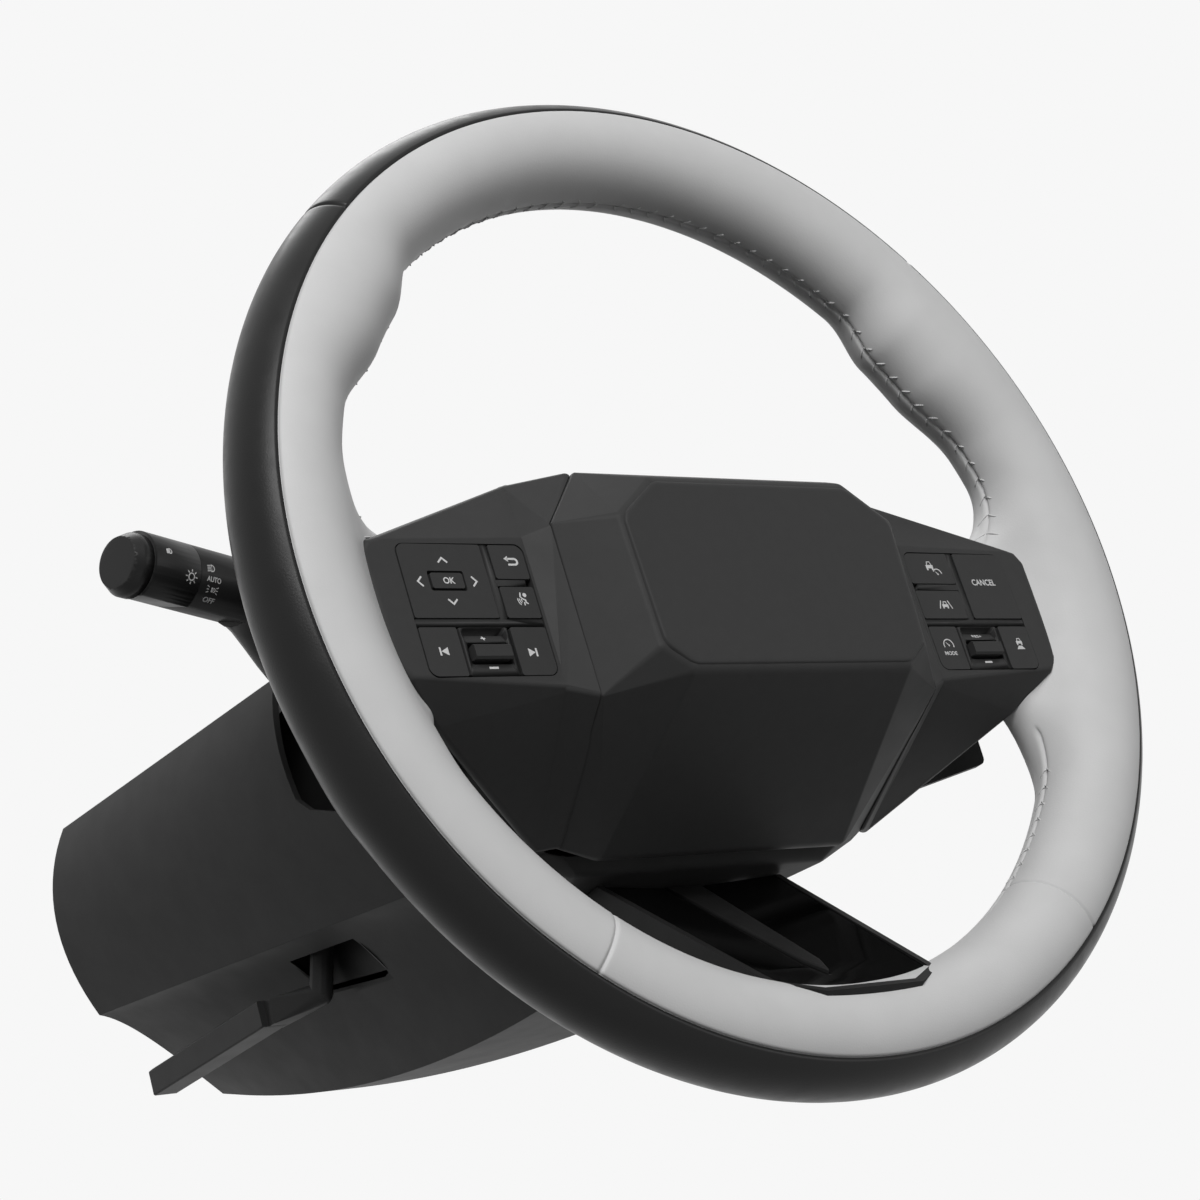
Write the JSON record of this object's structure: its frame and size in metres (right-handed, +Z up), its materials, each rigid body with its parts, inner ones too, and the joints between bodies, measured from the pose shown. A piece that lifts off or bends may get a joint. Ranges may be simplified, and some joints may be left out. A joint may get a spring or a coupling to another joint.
{
  "type": "car steering wheel",
  "caption": "Leather-rimmed car steering wheel with faceted airbag cover, switch pads, column stalks, paddles, tilt lever and shroud.",
  "frame": {"origin": "centre of the four bolt holes on the top face of the column's mounting bracket", "axes": "+X to the driver's right, +Y forward away from the driver, +Z up"},
  "size_m": [0.37, 0.492, 0.3913],
  "materials": {
    "bracket_steel": "satin",
    "bolt_steel": "satin",
    "bearing_steel": "satin",
    "shaft_steel": "satin",
    "jacket_aluminium": "satin",
    "black_plastic": "matte",
    "trim_plastic": "matte",
    "stalk_plastic": "matte",
    "key_plastic": "matte",
    "gloss_black": "gloss",
    "satin_metal": "satin",
    "cast_magnesium": "matte",
    "foam": "matte",
    "light_leather": "matte",
    "dark_leather": "matte"
  },
  "bodies": {
    "frame": {"mounting_bracket": "bracket_steel", "pivot_bolts": "bolt_steel"},
    "tilt_column": {"outer_jacket": "jacket_aluminium", "lower_bearing": "bearing_steel"},
    "lower_shaft": {"lower_shaft": "shaft_steel"},
    "reach_column": {"upper_jacket": "jacket_aluminium", "upper_bearing": "bearing_steel", "clamp_bolt": "bolt_steel", "switch_housing": "black_plastic", "clock_spring": "black_plastic", "upper_shroud": "trim_plastic", "lower_shroud": "trim_plastic"},
    "tilt_lever": {"tilt_lever": "black_plastic"},
    "left_carrier": {"left_stalk_carrier": "stalk_plastic"},
    "left_stalk": {"left_stalk": "stalk_plastic"},
    "light_knob": {"light_knob": "stalk_plastic", "left_stalk_cap": "stalk_plastic"},
    "right_carrier": {"right_stalk_carrier": "stalk_plastic"},
    "right_stalk": {"right_stalk": "stalk_plastic"},
    "wiper_knob": {"wiper_knob": "stalk_plastic", "right_stalk_cap": "stalk_plastic"},
    "wheel": {"steering_shaft": "shaft_steel", "hub_nut": "bolt_steel", "clock_spring_rotor": "black_plastic", "rim_armature": "cast_magnesium", "rim_foam": "foam", "upper_light_leather": "light_leather", "lower_light_leather": "light_leather", "upper_dark_leather": "dark_leather", "lower_dark_leather": "dark_leather", "hub_rear_cover": "black_plastic", "left_bezel": "trim_plastic", "right_bezel": "trim_plastic", "left_switch_base": "black_plastic", "right_switch_base": "black_plastic", "spoke_tray": "satin_metal", "spoke_panels": "gloss_black", "spoke_fin": "satin_metal"},
    "left_paddle": {"left_paddle": "trim_plastic"},
    "right_paddle": {"right_paddle": "trim_plastic"},
    "airbag": {"airbag_cover": "trim_plastic", "airbag_housing": "bracket_steel", "airbag_inflator": "bearing_steel"},
    "nav_gimbal": {"nav_gimbal": "black_plastic"},
    "nav_pad": {"nav_pad": "key_plastic"},
    "ok_key": {"ok_key": "key_plastic"},
    "back_key": {"back_key": "key_plastic"},
    "voice_key": {"voice_key": "key_plastic"},
    "previous_key": {"previous_key": "key_plastic"},
    "next_key": {"next_key": "key_plastic"},
    "cruise_key": {"cruise_key": "key_plastic"},
    "lane_key": {"lane_key": "key_plastic"},
    "cancel_key": {"cancel_key": "key_plastic"},
    "mode_key": {"mode_key": "key_plastic"},
    "distance_key": {"distance_key": "key_plastic"},
    "volume_toggle": {"volume_toggle": "key_plastic"},
    "speed_toggle": {"speed_toggle": "key_plastic"}
  },
  "joints": [
    {"name": "column_tilt", "type": "hinge", "parent": "frame", "child": "tilt_column", "pos_m": [0, -0.01801, -0.04893], "axis": [1, 0, 0], "range_deg": [-2, 2]},
    {"name": "column_reach", "type": "slide", "parent": "tilt_column", "child": "reach_column", "axis": [0, -0.9063, 0.4226], "range_m": [-0.02, 0.02]},
    {"name": "wheel_turn", "type": "hinge", "parent": "reach_column", "child": "wheel", "pos_m": [0, -0.376, 0.118], "axis": [0, -0.9063, 0.4226], "range_deg": [-480, 480]},
    {"name": "lower_shaft_turn", "type": "hinge", "parent": "tilt_column", "child": "lower_shaft", "pos_m": [0, -0.01801, -0.04893], "axis": [0, -0.9063, 0.4226], "range_deg": [-480, 480]},
    {"name": "lever_swing", "type": "hinge", "parent": "reach_column", "child": "tilt_lever", "pos_m": [-0.042, -0.18603, -0.007], "axis": [-1, 0, 0], "range_deg": [0, 50]},
    {"name": "left_stalk_lift", "type": "hinge", "parent": "reach_column", "child": "left_carrier", "pos_m": [-0.044, -0.24574, 0.06608], "axis": [0, 0.9063, -0.4226], "range_deg": [-10, 10]},
    {"name": "left_stalk_pull", "type": "hinge", "parent": "left_carrier", "child": "left_stalk", "pos_m": [-0.055, -0.24574, 0.06608], "axis": [0, 0.4226, 0.9063], "range_deg": [-6, 6], "stiffness_Nm_per_rad": 8},
    {"name": "light_knob_turn", "type": "hinge", "parent": "left_stalk", "child": "light_knob", "pos_m": [-0.132, -0.25636, 0.11429], "axis": [-0.9597, -0.2053, 0.1921], "range_deg": [-36, 36]},
    {"name": "right_stalk_lift", "type": "hinge", "parent": "reach_column", "child": "right_carrier", "pos_m": [0.044, -0.24574, 0.06608], "axis": [0, -0.9063, 0.4226], "range_deg": [-10, 10]},
    {"name": "right_stalk_pull", "type": "hinge", "parent": "right_carrier", "child": "right_stalk", "pos_m": [0.055, -0.24574, 0.06608], "axis": [0, -0.4226, -0.9063], "range_deg": [-6, 6], "stiffness_Nm_per_rad": 8},
    {"name": "wiper_knob_turn", "type": "hinge", "parent": "right_stalk", "child": "wiper_knob", "pos_m": [0.132, -0.25636, 0.11429], "axis": [0.9597, -0.2053, 0.1921], "range_deg": [-36, 36]},
    {"name": "left_paddle_pull", "type": "hinge", "parent": "wheel", "child": "left_paddle", "pos_m": [-0.081, -0.33443, 0.10303], "axis": [0, 0.4226, 0.9063], "range_deg": [0, 4], "stiffness_Nm_per_rad": 4, "springref_deg": -2.86},
    {"name": "right_paddle_pull", "type": "hinge", "parent": "wheel", "child": "right_paddle", "pos_m": [0.081, -0.33443, 0.10303], "axis": [0, -0.4226, -0.9063], "range_deg": [0, 4], "stiffness_Nm_per_rad": 4, "springref_deg": -2.86},
    {"name": "horn_press", "type": "slide", "parent": "wheel", "child": "airbag", "axis": [0, 0.9063, -0.4226], "range_m": [0, 0.0015], "stiffness_N_per_m": 12000, "springref_m": -0.001},
    {"name": "nav_left_right", "type": "hinge", "parent": "wheel", "child": "nav_gimbal", "pos_m": [-0.1161, -0.3777, 0.11191], "axis": [0, 0.4617, 0.887], "range_deg": [-2, 2], "stiffness_Nm_per_rad": 0.6},
    {"name": "nav_up_down", "type": "hinge", "parent": "nav_gimbal", "child": "nav_pad", "pos_m": [-0.1161, -0.3777, 0.11191], "axis": [1, 0, 0], "range_deg": [-2, 2], "stiffness_Nm_per_rad": 0.6},
    {"name": "ok_key_press", "type": "slide", "parent": "wheel", "child": "ok_key", "axis": [0, 0.887, -0.4617], "range_m": [0, 0.0007], "stiffness_N_per_m": 3000, "springref_m": -0.0005},
    {"name": "back_key_press", "type": "slide", "parent": "wheel", "child": "back_key", "axis": [0, 0.887, -0.4617], "range_m": [0, 0.0007], "stiffness_N_per_m": 3000, "springref_m": -0.0005},
    {"name": "voice_key_press", "type": "slide", "parent": "wheel", "child": "voice_key", "axis": [0, 0.887, -0.4617], "range_m": [0, 0.0007], "stiffness_N_per_m": 3000, "springref_m": -0.0005},
    {"name": "previous_key_press", "type": "slide", "parent": "wheel", "child": "previous_key", "axis": [0, 0.887, -0.4617], "range_m": [0, 0.0007], "stiffness_N_per_m": 3000, "springref_m": -0.0005},
    {"name": "next_key_press", "type": "slide", "parent": "wheel", "child": "next_key", "axis": [0, 0.887, -0.4617], "range_m": [0, 0.0007], "stiffness_N_per_m": 3000, "springref_m": -0.0005},
    {"name": "cruise_key_press", "type": "slide", "parent": "wheel", "child": "cruise_key", "axis": [0, 0.887, -0.4617], "range_m": [0, 0.0007], "stiffness_N_per_m": 3000, "springref_m": -0.0005},
    {"name": "lane_key_press", "type": "slide", "parent": "wheel", "child": "lane_key", "axis": [0, 0.887, -0.4617], "range_m": [0, 0.0007], "stiffness_N_per_m": 3000, "springref_m": -0.0005},
    {"name": "cancel_key_press", "type": "slide", "parent": "wheel", "child": "cancel_key", "axis": [0, 0.887, -0.4617], "range_m": [0, 0.0007], "stiffness_N_per_m": 3000, "springref_m": -0.0005},
    {"name": "mode_key_press", "type": "slide", "parent": "wheel", "child": "mode_key", "axis": [0, 0.887, -0.4617], "range_m": [0, 0.0007], "stiffness_N_per_m": 3000, "springref_m": -0.0005},
    {"name": "distance_key_press", "type": "slide", "parent": "wheel", "child": "distance_key", "axis": [0, 0.887, -0.4617], "range_m": [0, 0.0007], "stiffness_N_per_m": 3000, "springref_m": -0.0005},
    {"name": "volume_toggle_rock", "type": "hinge", "parent": "wheel", "child": "volume_toggle", "pos_m": [-0.10775, -0.39136, 0.08999], "axis": [1, 0, 0], "range_deg": [-6, 6], "stiffness_Nm_per_rad": 0.1},
    {"name": "speed_toggle_rock", "type": "hinge", "parent": "wheel", "child": "speed_toggle", "pos_m": [0.10745, -0.39136, 0.08999], "axis": [1, 0, 0], "range_deg": [-6, 6], "stiffness_Nm_per_rad": 0.1}
  ],
  "couplings": [
    {"joint": "lower_shaft_turn", "follows": "wheel_turn", "ratio": 1}
  ]
}
